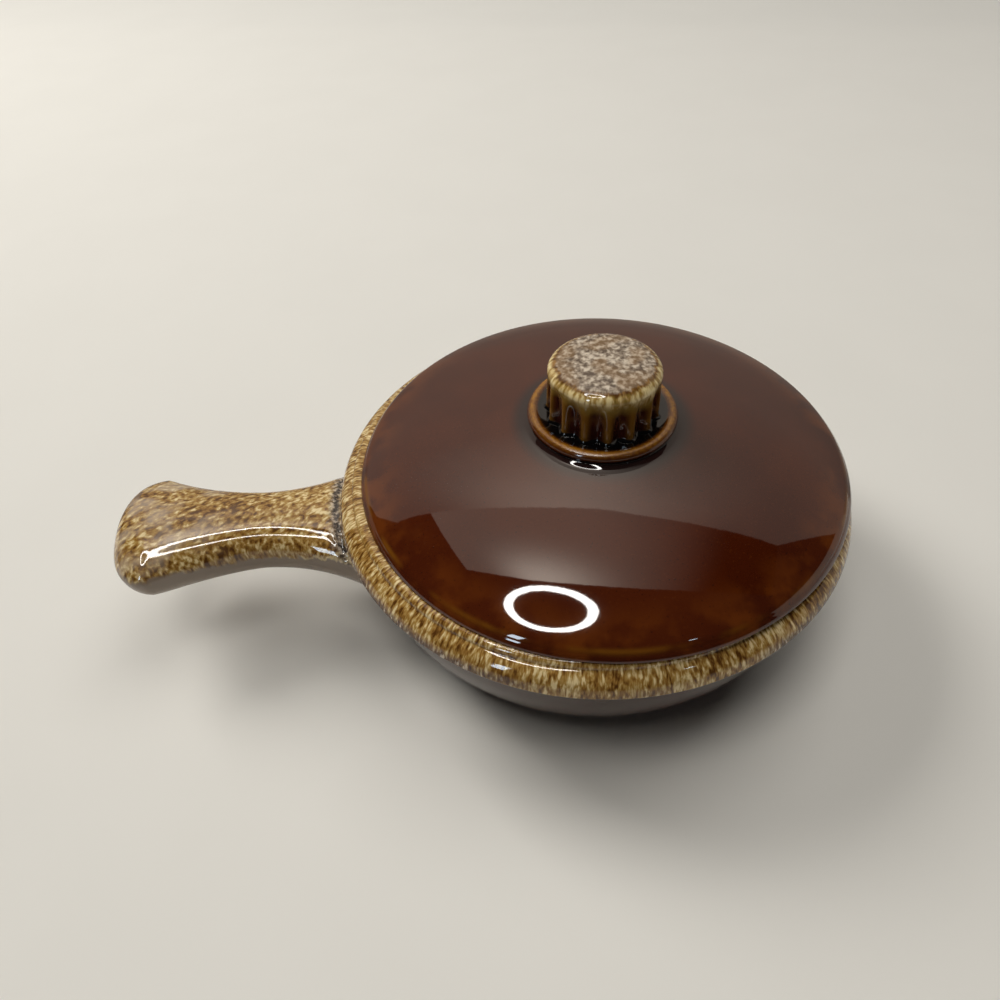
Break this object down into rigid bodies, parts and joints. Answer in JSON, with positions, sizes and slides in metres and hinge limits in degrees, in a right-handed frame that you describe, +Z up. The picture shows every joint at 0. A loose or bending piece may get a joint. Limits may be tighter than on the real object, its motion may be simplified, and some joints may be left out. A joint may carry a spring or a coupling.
{
  "type": "individual casserole",
  "caption": "Small round casserole in brown drip-glazed stoneware: a dish with a stub handle under its rim band, and a loose domed lid with a fluted knob.",
  "frame": {"origin": "centre of the foot ring's flat face, on the table under the dish's axis", "axes": "+Z up along the dish's axis, the handle along -X"},
  "size_m": [0.195, 0.135, 0.0741],
  "materials": {
    "bowl_glaze": "glossy brown glaze with cream flecks on the rim band",
    "handle_glaze": "glossy golden brown glaze mottled with cream",
    "lid_glaze": "glossy deep red-brown glaze, amber where it runs thin",
    "knob_glaze": "glossy amber glaze with a cream drip from the top edge"
  },
  "bodies": {
    "casserole": {"bowl": "bowl_glaze", "handle": "handle_glaze"},
    "lid": {"lid": "lid_glaze", "knob": "knob_glaze"}
  },
  "joints": [
    {"name": "lid_lift", "type": "slide", "parent": "casserole", "child": "lid", "axis": [0, 0, 1], "range_m": [0, 0.1]}
  ]
}
